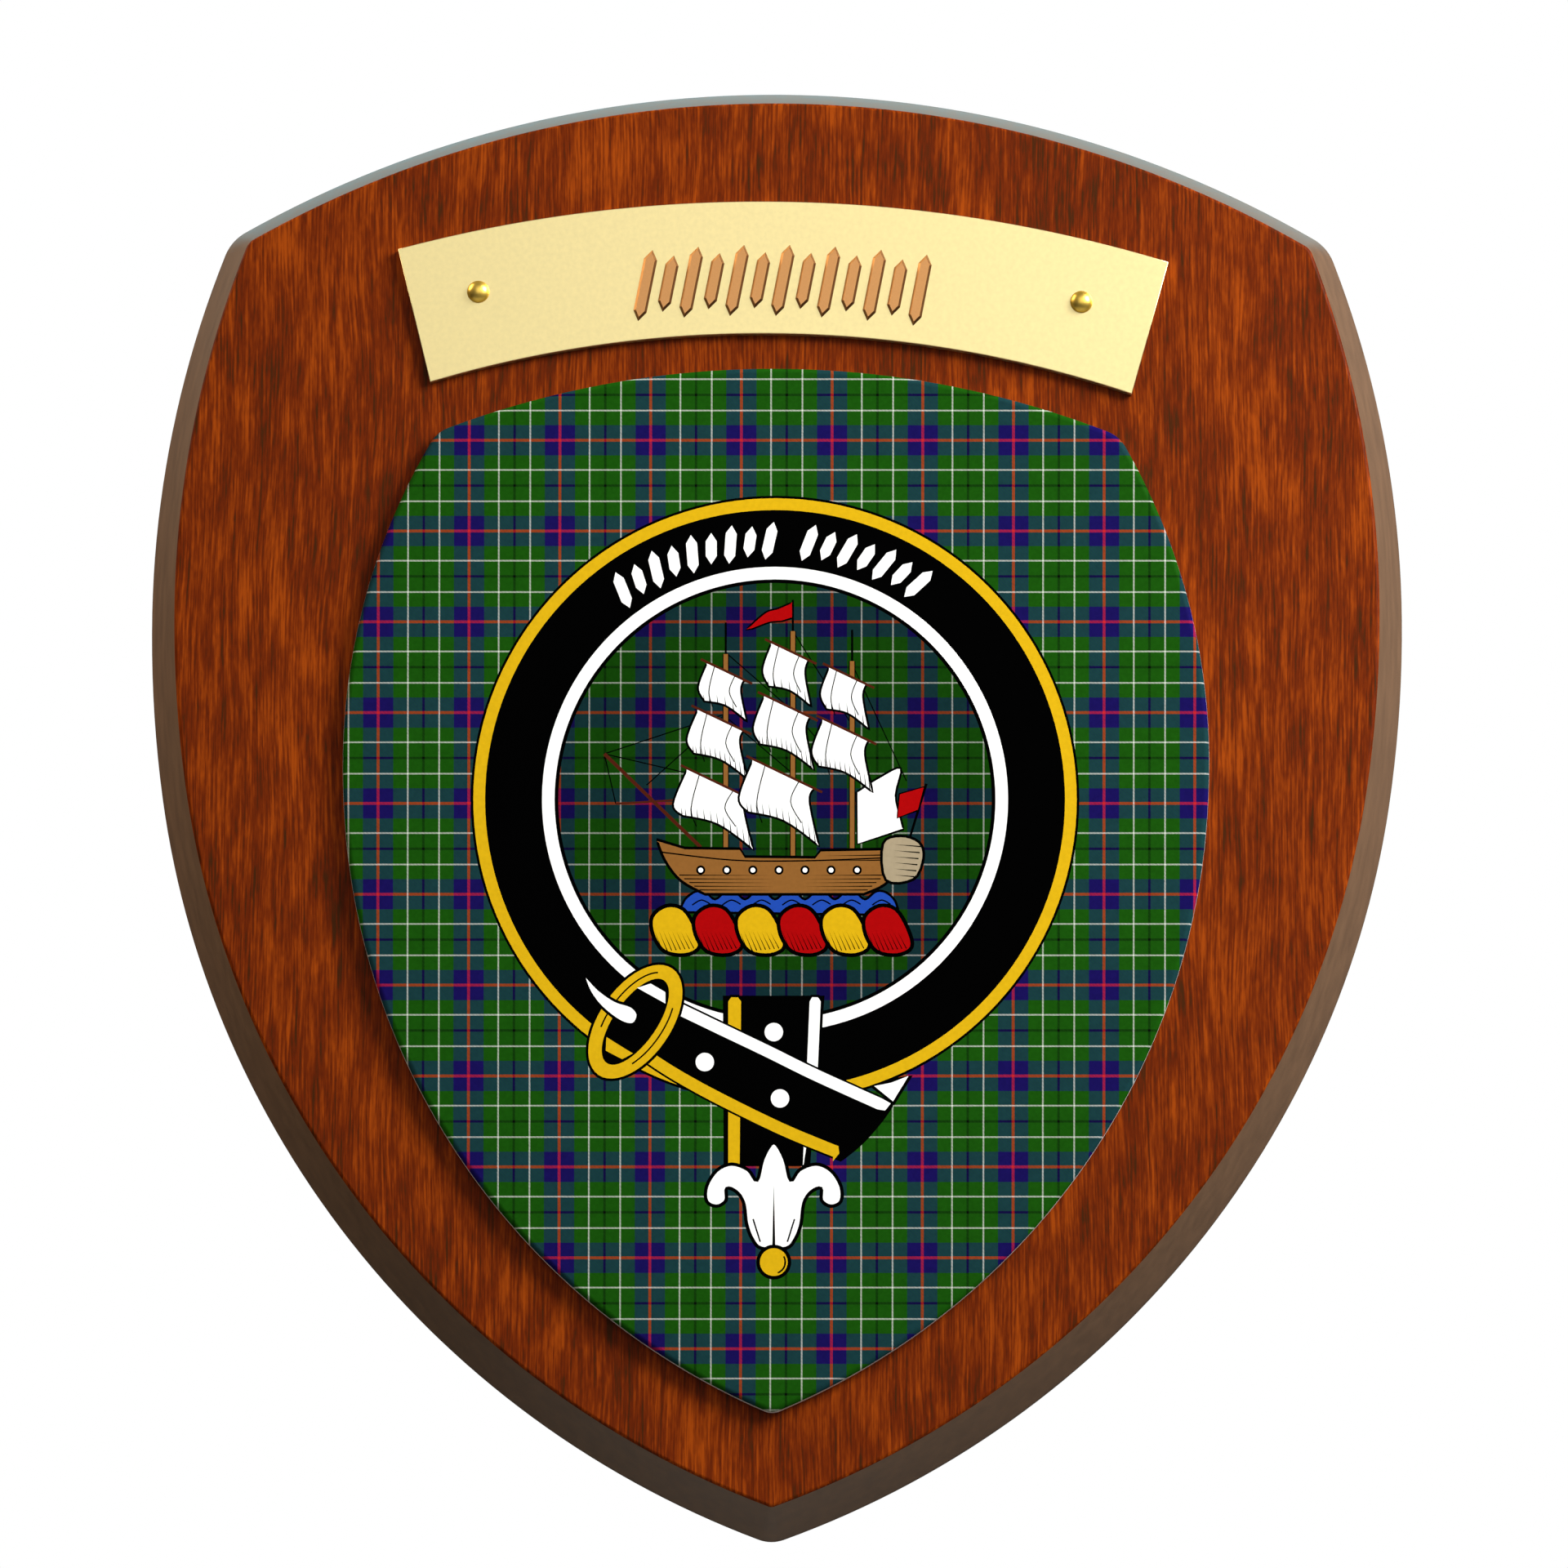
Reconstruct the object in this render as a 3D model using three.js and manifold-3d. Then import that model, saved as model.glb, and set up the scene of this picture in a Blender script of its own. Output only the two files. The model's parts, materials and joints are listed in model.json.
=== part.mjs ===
// Wooden heraldic shield plaque: a bevelled wall board, a printed shield panel bonded to its
// front, and a curved brass name plate held by two round-headed pins.
// Millimetres, +Z up, the back on the plane y = 0 and the front facing -Y.
// The origin is on the back face, on the board's centre line and halfway up it.

import * as THREE from 'three';
import { mergeVertices } from 'three/addons/utils/BufferGeometryUtils.js';
import Module from 'manifold-3d';

const wasm = await Module();
wasm.setup();

// Board: outline at the back, with drops measured down from the crown to sharp corners
const boardWidth = 178;
const boardHeight = 208.4;
const boardShoulderInset = 10.2;
const boardShoulderDrop = 22.2;
const boardWidestDrop = 76.8;
const boardFlankRadius = 176;
const boardFlankSweep = 8.8;

// Board: thickness, and the bevel that is routed all round the front
const boardThickness = 12;
const edgeLand = 2;
const bevelWidth = 4.15;
const faceShoulderRadius = 2.4;
const facePointRadius = 1;

// Hanging slot in the back: a round entry for the screw's head and a narrower neck above it
const slotEntryDrop = 43;
const slotEntryDiameter = 9.5;
const slotNeckWidth = 4.8;
const slotLipThickness = 3.6;
const slotFloorThickness = 4;
const slotRun = 12;

// Spaces down the front: board's face above the plate, and plate above the panel
const plateTopMargin = 14.7;
const platePanelGap = 5.2;

// Printed shield panel
const panelWidth = 121.5;
const panelHeight = 148;
const panelShoulderInset = 12.5;
const panelShoulderDrop = 9.5;
const panelWidestDrop = 55.9;
const panelFlankRadius = 112;
const panelFlankSweep = 6;
const panelThickness = 2.2;
const panelEdgeRound = 0.8;
const panelShoulderRadius = 5;
const panelPointRadius = 2.8;

// Name plate: a strip bent to an arch, cut from sheet
const plateTopChord = 109.5;
const plateBottomChord = 99.4;
const plateRise = 7.9;
const plateHeight = 19.3;
const plateThickness = 1.2;
const plateTilt = -0.63;
const plateShift = 0.55;

// Raised strokes in the inscription's place
const strokeCount = 13;
const strokePitch = 3.25;
const strokeWidth = 1.9;
const strokeTallHeight = 10.6;
const strokeShortHeight = 8.4;
const strokeRowDrop = 1.9;
const strokeRise = 0.35;
const strokeSink = 0.2;
const strokeSlant = 10;
const strokePointLength = 1.3;

// Round-headed pins
const pinSpacing = 85.6;
const pinAboveMiddle = 0.95;
const pinsAside = -0.38;
const pinHeadDiameter = 3.2;
const pinHeadHeight = 1.15;
const pinShankDiameter = 1.4;
const pinLength = 9;
const pinPointLength = 1.4;
const pinClearance = 0.3;

// How finely curves are cut into flats
const arcStep = 2;
const filletStep = 6;
const holeSides = 24;
const pinSides = 24;
const overcut = 1;

// Finishes
const mahogany = new THREE.MeshStandardMaterial({ color: 0x7d3414, roughness: 0.45, metalness: 0 });
const printedMetal = new THREE.MeshStandardMaterial({ color: 0x2c5a3a, roughness: 0.4, metalness: 0.1 });
const satinBrass = new THREE.MeshStandardMaterial({ color: 0xe9d590, roughness: 0.35, metalness: 0.9 });
const polishedBrass = new THREE.MeshStandardMaterial({ color: 0xe0b040, roughness: 0.2, metalness: 1 });

const radians = THREE.MathUtils.degToRad;

// The plan is drawn as seen from the front: x to the right, y up, z out of the wall.

// Radius of the arc that rises by `rise` over half its chord
const arcRadius = (halfChord, rise) => (halfChord * halfChord + rise * rise) / (2 * rise);

// Right-hand crossing of two circles
function circleCrossing(centreA, radiusA, centreB, radiusB) {
    const between = centreB.clone().sub(centreA);
    const distance = between.length();
    const along = (radiusA ** 2 - radiusB ** 2 + distance ** 2) / (2 * distance);
    const across = Math.sqrt(radiusA ** 2 - along ** 2);
    const unit = between.divideScalar(distance);
    const foot = centreA.clone().addScaledVector(unit, along);
    const side = new THREE.Vector2(unit.y, -unit.x).multiplyScalar(across);
    const crossings = [foot.clone().add(side), foot.clone().sub(side)];
    return crossings[0].x > crossings[1].x ? crossings[0] : crossings[1];
}

const directionTo = (from, to) => Math.atan2(to.y - from.y, to.x - from.x);

// Right half of a shield as a chain of arcs, from the point at the bottom up to the crown.
// The arcs meet without a kink, so the same chain with larger or smaller radii is a parallel outline.
function shieldArcs(shield) {
    const halfWidth = shield.width / 2;
    const widestHeight = shield.crownHeight - shield.widestDrop;
    const inset = shield.inset;

    const crownRadius = arcRadius(halfWidth - shield.shoulderInset, shield.shoulderDrop);
    const crown = new THREE.Vector2(0, shield.crownHeight - crownRadius);

    const sideRadius = arcRadius(shield.widestDrop - shield.shoulderDrop, shield.shoulderInset);
    const side = new THREE.Vector2(halfWidth - sideRadius, widestHeight);

    const flank = new THREE.Vector2(halfWidth - shield.flankRadius, widestHeight);
    const sweep = radians(shield.flankSweep);
    const outward = new THREE.Vector2(Math.cos(sweep), -Math.sin(sweep));
    const flankEnd = flank.clone().addScaledVector(outward, shield.flankRadius);
    const toFlankEnd = flankEnd.clone().sub(new THREE.Vector2(0, shield.crownHeight - shield.height));
    const lowerRadius = toFlankEnd.lengthSq() / (2 * toFlankEnd.dot(outward));
    const lower = flankEnd.clone().addScaledVector(outward, -lowerRadius);

    const reach = lowerRadius - inset - shield.pointRadius;
    const point = new THREE.Vector2(0, lower.y - Math.sqrt(reach ** 2 - lower.x ** 2));
    const shoulder = circleCrossing(
        side, sideRadius - inset - shield.shoulderRadius,
        crown, crownRadius - inset - shield.shoulderRadius,
    );

    const sideEnd = directionTo(side, shoulder);
    const shoulderEnd = directionTo(crown, shoulder);
    return [
        { centre: point, radius: shield.pointRadius, end: directionTo(lower, point), step: filletStep },
        { centre: lower, radius: lowerRadius - inset, end: -sweep, step: arcStep },
        { centre: flank, radius: shield.flankRadius - inset, end: 0, step: arcStep },
        { centre: side, radius: sideRadius - inset, end: sideEnd, step: arcStep },
        { centre: shoulder, radius: shield.shoulderRadius, end: shoulderEnd, step: filletStep },
        { centre: crown, radius: crownRadius - inset, end: Math.PI / 2, step: arcStep },
    ];
}

// Closed outline of a shield, anticlockwise from its point
function shieldShape(shield) {
    const rightHalf = [];
    let start = -Math.PI / 2;
    for (const arc of shieldArcs(shield)) {
        const steps = Math.max(2, Math.ceil((arc.end - start) / radians(arc.step)));
        for (let i = 0; i < steps; i++) {
            const angle = start + (arc.end - start) * i / steps;
            const outward = new THREE.Vector2(Math.cos(angle), Math.sin(angle));
            rightHalf.push(outward.multiplyScalar(arc.radius).add(arc.centre));
        }
        start = arc.end;
    }
    const bottom = rightHalf.shift().setX(0);
    const apex = new THREE.Vector2(0, shield.crownHeight - shield.inset);
    const leftHalf = rightHalf.map((place) => new THREE.Vector2(-place.x, place.y)).reverse();
    return new THREE.Shape([bottom, ...rightHalf, apex, ...leftHalf]);
}

// Booleans
function toSolid(geometry) {
    geometry.deleteAttribute('normal');
    geometry.deleteAttribute('uv');
    const merged = mergeVertices(geometry, 1e-5);
    const mesh = new wasm.Mesh({
        numProp: 3,
        vertProperties: new Float32Array(merged.attributes.position.array),
        triVerts: new Uint32Array(merged.index.array),
    });
    return new wasm.Manifold(mesh);
}

function toGeometry(solid) {
    const { vertProperties, triVerts } = solid.getMesh();
    const geometry = new THREE.BufferGeometry();
    geometry.setAttribute('position', new THREE.BufferAttribute(vertProperties, 3));
    geometry.setIndex(new THREE.BufferAttribute(triVerts, 1));
    geometry.computeVertexNormals();
    return geometry;
}

// A solid between two heights above the wall, with its edges square
function slab(shape, low, high) {
    const geometry = new THREE.ExtrudeGeometry(shape, { depth: high - low, bevelEnabled: false });
    return toSolid(geometry.translate(0, 0, low));
}

// A shield that stands on `base`, with a straight edge and then a front edge that is cut or rounded back.
// The extrusion narrows at both ends, so what lies below the base is cut away.
function shieldSolid(shield, base, thickness, edgeDepth, edgeSegments) {
    const geometry = new THREE.ExtrudeGeometry(shieldShape(shield), {
        depth: thickness - edgeDepth,
        bevelThickness: edgeDepth,
        bevelSize: shield.inset,
        bevelSegments: edgeSegments,
    });
    const reach = 2 * (shield.width + shield.height);
    const cutDepth = edgeDepth + overcut;
    const behind = new THREE.BoxGeometry(reach, reach, cutDepth);
    behind.translate(0, shield.crownHeight, -cutDepth / 2);
    return toSolid(geometry).subtract(toSolid(behind)).translate(0, 0, base);
}

// Round hole or rod along the plan's z
function roundSolid(x, y, diameter, low, high) {
    const geometry = new THREE.CylinderGeometry(diameter / 2, diameter / 2, high - low, holeSides);
    return toSolid(geometry.rotateX(Math.PI / 2).translate(x, y, (low + high) / 2));
}

// Upright slot with round ends
function slotShape(width, bottom, top) {
    const shape = new THREE.Shape();
    shape.absarc(0, bottom, width / 2, Math.PI, 2 * Math.PI);
    shape.absarc(0, top, width / 2, 0, Math.PI);
    return shape;
}

// Heights on the plan
const boardCrownHeight = boardHeight / 2;
const plateCrownHeight = boardCrownHeight - bevelWidth - plateTopMargin;
const plateMiddleHeight = plateCrownHeight - plateHeight / 2;
const panelCrownHeight = plateCrownHeight - plateHeight - platePanelGap;

// Places on the name plate, measured from the middle of its crown
const plateArchRadius = arcRadius((plateTopChord + plateBottomChord) / 4, plateRise);
const archDrop = (x) => plateArchRadius - Math.sqrt(plateArchRadius ** 2 - x ** 2);
const pinPlaces = [-1, 1].map((hand) => new THREE.Vector2(
    pinsAside + hand * pinSpacing / 2,
    pinAboveMiddle - archDrop(pinSpacing / 2),
));

// The plate is fixed a little off level and off centre, so the holes behind its pins move with it.
function placeOnBoard(placeOnPlate) {
    const turned = placeOnPlate.clone().rotateAround(new THREE.Vector2(), radians(plateTilt));
    return turned.add(new THREE.Vector2(plateShift, plateMiddleHeight));
}

function hangingSlot() {
    const slotDepth = boardThickness - slotFloorThickness;
    const slotEntryHeight = boardCrownHeight - slotEntryDrop;
    const slotTop = slotEntryHeight + slotRun;
    const entry = roundSolid(0, slotEntryHeight, slotEntryDiameter, -overcut, slotDepth);
    const neck = slab(slotShape(slotNeckWidth, slotEntryHeight, slotTop), -overcut, slotDepth);
    const headRoom = slotShape(slotEntryDiameter, slotEntryHeight, slotTop);
    const undercut = slab(headRoom, slotLipThickness, slotDepth);
    return entry.add(neck).add(undercut);
}

function shieldBoard() {
    const board = {
        width: boardWidth,
        height: boardHeight,
        crownHeight: boardCrownHeight,
        shoulderInset: boardShoulderInset,
        shoulderDrop: boardShoulderDrop,
        widestDrop: boardWidestDrop,
        flankRadius: boardFlankRadius,
        flankSweep: boardFlankSweep,
        inset: bevelWidth,
        shoulderRadius: faceShoulderRadius,
        pointRadius: facePointRadius,
    };
    let solid = shieldSolid(board, 0, boardThickness, boardThickness - edgeLand, 1).subtract(hangingSlot());
    const pilotDiameter = pinShankDiameter + 2 * pinClearance;
    const pilotFloor = boardThickness + plateThickness - pinLength - pinClearance;
    for (const place of pinPlaces) {
        const { x, y } = placeOnBoard(place);
        solid = solid.subtract(roundSolid(x, y, pilotDiameter, pilotFloor, boardThickness + overcut));
    }
    return toGeometry(solid);
}

function tartanPanel() {
    const panel = {
        width: panelWidth,
        height: panelHeight,
        crownHeight: panelCrownHeight,
        shoulderInset: panelShoulderInset,
        shoulderDrop: panelShoulderDrop,
        widestDrop: panelWidestDrop,
        flankRadius: panelFlankRadius,
        flankSweep: panelFlankSweep,
        inset: panelEdgeRound,
        shoulderRadius: panelShoulderRadius - panelEdgeRound,
        pointRadius: panelPointRadius - panelEdgeRound,
    };
    return toGeometry(shieldSolid(panel, boardThickness, panelThickness, panelEdgeRound, 3));
}

// Arched strip between two arcs of the same rise, with slanted ends
function plateShape() {
    const edge = (chord, height) => {
        const radius = arcRadius(chord / 2, plateRise);
        const halfAngle = Math.asin(chord / 2 / radius);
        return { radius, halfAngle, centreHeight: height - radius };
    };
    const top = edge(plateTopChord, plateHeight / 2);
    const bottom = edge(plateBottomChord, -plateHeight / 2);
    const points = [];
    const follow = (arc, from, to) => {
        const steps = Math.ceil(Math.abs(to - from) / radians(arcStep));
        for (let i = 0; i <= steps; i++) {
            const angle = from + (to - from) * i / steps;
            points.push(new THREE.Vector2(
                arc.radius * Math.sin(angle),
                arc.centreHeight + arc.radius * Math.cos(angle),
            ));
        }
    };
    follow(bottom, -bottom.halfAngle, bottom.halfAngle);
    follow(top, top.halfAngle, -top.halfAngle);
    return new THREE.Shape(points);
}

// One stroke: a slanted bar with a point at each end
function strokeSolid(height) {
    const half = strokeWidth / 2;
    const shoulder = height / 2 - strokePointLength;
    const shape = new THREE.Shape([
        new THREE.Vector2(-half, -shoulder),
        new THREE.Vector2(0, -height / 2),
        new THREE.Vector2(half, -shoulder),
        new THREE.Vector2(half, shoulder),
        new THREE.Vector2(0, height / 2),
        new THREE.Vector2(-half, shoulder),
    ]);
    return slab(shape, -strokeSink, strokeRise);
}

function namePlate() {
    let solid = slab(plateShape(), 0, plateThickness);
    const holeDiameter = pinShankDiameter + 2 * pinClearance;
    for (const { x, y } of pinPlaces) {
        solid = solid.subtract(roundSolid(x, y, holeDiameter, -overcut, plateThickness + overcut));
    }
    for (let i = 0; i < strokeCount; i++) {
        const x = (i - (strokeCount - 1) / 2) * strokePitch;
        const height = i % 2 === 0 ? strokeTallHeight : strokeShortHeight;
        const stroke = strokeSolid(height).rotate(0, 0, -strokeSlant);
        solid = solid.add(stroke.translate(x, -strokeRowDrop - archDrop(x), plateThickness));
    }
    return toGeometry(solid);
}

// Domed head on a thin pointed shank, turned about its own axis
function pinGeometry() {
    const headRadius = pinHeadDiameter / 2;
    const shankRadius = pinShankDiameter / 2;
    const domeSteps = 6;
    const profile = [
        new THREE.Vector2(0, -pinLength),
        new THREE.Vector2(shankRadius, pinPointLength - pinLength),
        new THREE.Vector2(shankRadius, 0),
        new THREE.Vector2(headRadius, 0),
    ];
    for (let i = 1; i <= domeSteps; i++) {
        const angle = i / domeSteps * Math.PI / 2;
        profile.push(new THREE.Vector2(headRadius * Math.cos(angle), pinHeadHeight * Math.sin(angle)));
    }
    profile.at(-1).setX(0);
    const geometry = new THREE.LatheGeometry(profile, pinSides).rotateX(Math.PI / 2);
    return toGeometry(toSolid(geometry));
}

function namedMesh(name, geometry, surface) {
    const mesh = new THREE.Mesh(geometry, surface);
    mesh.name = name;
    return mesh;
}

// The plan is stood up against the wall, with its z turned to face -Y.
const plaque = new THREE.Group();
plaque.rotation.x = Math.PI / 2;
plaque.add(namedMesh('shield_board', shieldBoard(), mahogany));
plaque.add(namedMesh('tartan_panel', tartanPanel(), printedMetal));

const plateGroup = new THREE.Group();
plateGroup.position.set(plateShift, plateMiddleHeight, boardThickness);
plateGroup.rotation.z = radians(plateTilt);
plateGroup.add(namedMesh('name_plate', namePlate(), satinBrass));
['plate_pin_left', 'plate_pin_right'].forEach((name, i) => {
    const pin = namedMesh(name, pinGeometry(), polishedBrass);
    pin.position.set(pinPlaces[i].x, pinPlaces[i].y, plateThickness);
    plateGroup.add(pin);
});
plaque.add(plateGroup);

const model = new THREE.Group();
model.add(plaque);

export default model;
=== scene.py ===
"""Wooden shield wall plaque: a bevelled mahogany board, a thin metal shield printed with a tartan and a
buckled belt badge, and an arched brass name plate on two round-headed pins."""

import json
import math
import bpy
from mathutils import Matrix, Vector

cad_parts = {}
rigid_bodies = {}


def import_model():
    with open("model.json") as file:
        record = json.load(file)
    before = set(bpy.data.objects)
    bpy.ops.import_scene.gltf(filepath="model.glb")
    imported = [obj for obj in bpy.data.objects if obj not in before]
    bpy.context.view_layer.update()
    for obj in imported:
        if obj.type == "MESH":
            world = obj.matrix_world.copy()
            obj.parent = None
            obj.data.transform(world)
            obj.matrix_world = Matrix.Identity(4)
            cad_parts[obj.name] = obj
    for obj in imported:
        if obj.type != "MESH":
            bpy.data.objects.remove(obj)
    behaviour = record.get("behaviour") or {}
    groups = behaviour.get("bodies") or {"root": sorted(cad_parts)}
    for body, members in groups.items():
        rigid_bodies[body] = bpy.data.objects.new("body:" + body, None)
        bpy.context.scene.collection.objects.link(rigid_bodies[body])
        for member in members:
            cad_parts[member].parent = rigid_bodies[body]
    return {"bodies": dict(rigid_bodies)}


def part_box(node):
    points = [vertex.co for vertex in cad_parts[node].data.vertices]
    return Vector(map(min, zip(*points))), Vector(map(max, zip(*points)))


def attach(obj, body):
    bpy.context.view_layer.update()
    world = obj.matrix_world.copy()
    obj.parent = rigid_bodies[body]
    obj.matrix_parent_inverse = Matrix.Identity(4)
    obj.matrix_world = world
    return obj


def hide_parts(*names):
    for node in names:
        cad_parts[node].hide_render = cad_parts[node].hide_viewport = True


bl_info = {
    "name": "Heraldic Shield Plaque",
    "version": (1, 0, 0),
    "blender": (4, 5, 0),
    "location": "3D View > Sidebar > Plaque",
    "description": "Makes a wooden shield plaque with a printed tartan panel and a brass name plate",
    "category": "Add Mesh",
}

import bmesh
import bpy
import numpy as np
from bpy.props import FloatProperty, FloatVectorProperty, IntProperty, PointerProperty
from bpy.types import Operator, Panel, PropertyGroup
from mathutils import Matrix, Quaternion, Vector
from mathutils.geometry import delaunay_2d_cdt

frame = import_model()

MM = 0.001
BODY = next(iter(frame["bodies"]))
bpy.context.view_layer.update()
BOARD_LOW, BOARD_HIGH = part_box("shield_board")
PANEL_LOW, PANEL_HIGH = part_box("tartan_panel")
PIN_BOXES = [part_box(name) for name in ("plate_pin_left", "plate_pin_right")]

# The middle of the board's face, at which the camera and the lights are aimed
FACE_MIDDLE = Vector((0, BOARD_LOW.y, 0))

# Room that cutters take beyond the solid they cut
OVERCUT = 1 * MM

# The pins are fixed through the plate, so the line between them gives the plate's place and tilt
PIN_PLACES = [Vector((low.x + high.x, low.z + high.z)) / 2 for low, high in PIN_BOXES]
PIN_LINE = PIN_PLACES[1] - PIN_PLACES[0]
PLATE_FRONT = -PIN_BOXES[0][0].y


def linear(hex_colour):
    """An sRGB hex colour as the linear colour that Blender works in."""
    parts = [int(hex_colour[i:i + 2], 16) / 255 for i in (1, 3, 5)]
    return tuple(c / 12.92 if c <= 0.04045 else ((c + 0.055) / 1.055) ** 2.4 for c in parts)


def length(name, description, millimetres):
    default = millimetres * MM
    return FloatProperty(name=name, description=description, default=default, unit="LENGTH", precision=5)


def angle(name, description, degrees):
    return FloatProperty(name=name, description=description, default=math.radians(degrees), unit="ROTATION")


def number(name, description, default):
    return FloatProperty(name=name, description=description, default=default)


def colour(name, description, hex_colour):
    return FloatVectorProperty(
        name=name, description=description, default=linear(hex_colour), subtype="COLOR", min=0, max=1)


class PlaqueBoard(PropertyGroup):
    """Sizes and stains of the wooden board"""
    width: length("Width", "Widest part of the board", (BOARD_HIGH.x - BOARD_LOW.x) / MM)
    crown: length("Crown", "Top of the board above its middle", BOARD_HIGH.z / MM)
    height: length("Height", "From the crown to the sharp point below", 208.4)
    thickness: length("Thickness", "Back to front face", -BOARD_LOW.y / MM)
    shoulder_inset: length("Shoulder inset", "Shoulder corner, in from the widest part", 10.2)
    shoulder_drop: length("Shoulder drop", "Shoulder corner, down from the crown", 22.2)
    widest_drop: length("Widest drop", "Widest part, down from the crown", 76.8)
    flank_radius: length("Flank radius", "Curve just below the widest part", 176)
    flank_sweep: angle("Flank sweep", "How far round that curve runs", 8.8)
    edge_land: length("Edge land", "Square edge left behind the bevel", 2)
    bevel_width: length("Bevel width", "Face edge in from the outer edge", 4.15)
    shoulder_radius: length("Shoulder radius", "Rounding of the face's shoulder corners", 2.4)
    point_radius: length("Point radius", "Rounding of the face's point", 1)
    edge_round: length("Edge rounding", "Sanding of the edges round the face", 0.35)
    slot_drop: length("Slot drop", "Hanging slot's entry, down from the crown", 43)
    slot_run: length("Slot run", "How far the slot runs up from its entry", 12)
    grain: colour("Grain", "Middle colour of the wood", "#6C2603")
    grain_light: colour("Light grain", "Fine orange lines", "#963F06")
    grain_dark: colour("Dark grain", "Red-brown between the lines", "#5C1E03")
    clouds: colour("Clouds", "Brown patches where the stain is deeper", "#401F07")
    stain: colour("Bevel stain", "Dark stain of the bevel and edges", "#664B34")
    back: colour("Back", "Bare wood of the back", "#8E6A4A")


class PlaquePanel(PropertyGroup):
    """Sizes and inks of the printed metal shield"""
    width: length("Width", "Widest part of the panel", (PANEL_HIGH.x - PANEL_LOW.x) / MM)
    crown: length("Crown", "Top of the panel above the board's middle", PANEL_HIGH.z / MM)
    height: length("Height", "From the crown to the sharp point below", 148)
    thickness: length("Thickness", "How far it stands off the board", (BOARD_LOW.y - PANEL_LOW.y) / MM)
    shoulder_inset: length("Shoulder inset", "Shoulder corner, in from the widest part", 12.5)
    shoulder_drop: length("Shoulder drop", "Shoulder corner, down from the crown", 9.5)
    widest_drop: length("Widest drop", "Widest part, down from the crown", 55.9)
    flank_radius: length("Flank radius", "Curve just below the widest part", 112)
    flank_sweep: angle("Flank sweep", "How far round that curve runs", 6)
    shoulder_radius: length("Shoulder radius", "Rounding of the shoulder corners", 5)
    point_radius: length("Point radius", "Rounding of the point", 2.8)
    edge_round: length("Edge rounding", "Pressed rounding of the front edge", 0.8)
    sett_across: length("Sett across", "Repeat of the tartan across the panel", 12.703)
    sett_down: length("Sett down", "Repeat of the tartan down the panel", 12.906)
    print_turn: angle("Print turn", "How far the print is turned, anticlockwise", 0.355)
    print_taper: number("Print taper", "How much smaller the print gets towards the foot, per metre", 0.166)
    inner_shade: number("Inner shade", "Brightness of the tartan within the belt", 0.62)
    badge_radius: length("Badge radius", "Outside of the belt badge", 42.6)
    green: colour("Green thread", "Broad green band of the tartan", "#164B0A")
    blue: colour("Blue thread", "Broad blue band of the tartan", "#160F50")
    red: colour("Red thread", "Narrow red line of the tartan", "#B52028")
    white: colour("White thread", "Narrow white lines of the tartan", "#C9D1C0")
    black_ink: colour("Black ink", "Belt and outlines", "#010101")
    white_ink: colour("White ink", "Sails, strokes and the belt's inner border", "#FDFDFA")
    gold_ink: colour("Gold ink", "Belt border and buckle", "#D3A813")
    red_ink: colour("Red ink", "Pennants and wreath", "#A40709")
    blue_ink: colour("Blue ink", "Sea below the ship", "#2048A8")
    brown_ink: colour("Brown ink", "Hull", "#8A5C2B")
    umber_ink: colour("Umber ink", "Yards and bowsprit", "#4A1D10")
    tan_ink: colour("Tan ink", "Stern gallery", "#A39478")


class PlaquePlate(PropertyGroup):
    """Sizes and metals of the name plate and its pins"""
    top_chord: length("Top chord", "Straight across the upper corners", 109.5)
    bottom_chord: length("Bottom chord", "Straight across the lower corners", 99.4)
    rise: length("Rise", "How far the plate arches", 7.9)
    height: length("Height", "Lower to upper edge at the middle", 19.3)
    pin_above: length("Pins above middle", "Pins above the plate's middle line", 0.95)
    pin_aside: length("Pins aside", "Pins' middle from the plate's middle, to the right", -0.38)
    strokes: IntProperty(name="Strokes", description="Raised strokes in a row", default=13, min=1)
    stroke_pitch: length("Stroke pitch", "From one stroke to the next", 3.25)
    stroke_width: length("Stroke width", "Across one stroke", 1.9)
    stroke_tall: length("Tall stroke", "Every other stroke", 10.6)
    stroke_short: length("Short stroke", "The strokes between", 8.4)
    stroke_drop: length("Stroke row drop", "Row of strokes below the middle line", 1.9)
    stroke_rise: length("Stroke rise", "How far the strokes stand up", 0.35)
    stroke_slant: angle("Stroke slant", "How far the strokes lean", 10)
    stroke_side: length("Stroke side", "Width of the strokes' sloping sides", 0.32)
    thickness: length("Thickness", "Back to front", 1.2)
    edge_round: length("Edge rounding", "Rounding of the front edge", 0.1)
    pin_head: length("Pin head", "Across a pin's domed head", 3.2)
    pin_head_height: length("Pin head height", "How far the head stands off the plate", 1.15)
    pin_shank: length("Pin shank", "Across a pin's shank", 1.4)
    pin_length: length("Pin length", "From below the head to the tip", 9)
    pin_point: length("Pin point", "Tapered end of the shank", 1.4)
    pin_clearance: length("Pin clearance", "Room round the shank and below its tip", 0.3)
    brass: colour("Brass", "Satin brass of the plate", "#ECDA9C")
    copper: colour("Copper", "Copper of the raised strokes", "#C8915A")
    # Painted shade: a darker copper that stands for shade on the strokes' right and lower sides
    shading: colour("Shading", "Painted shade on the strokes' right and lower sides", "#5A3B22")
    pin_brass: colour("Pin brass", "Polished brass of the pins", "#F7CE5E")


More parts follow.
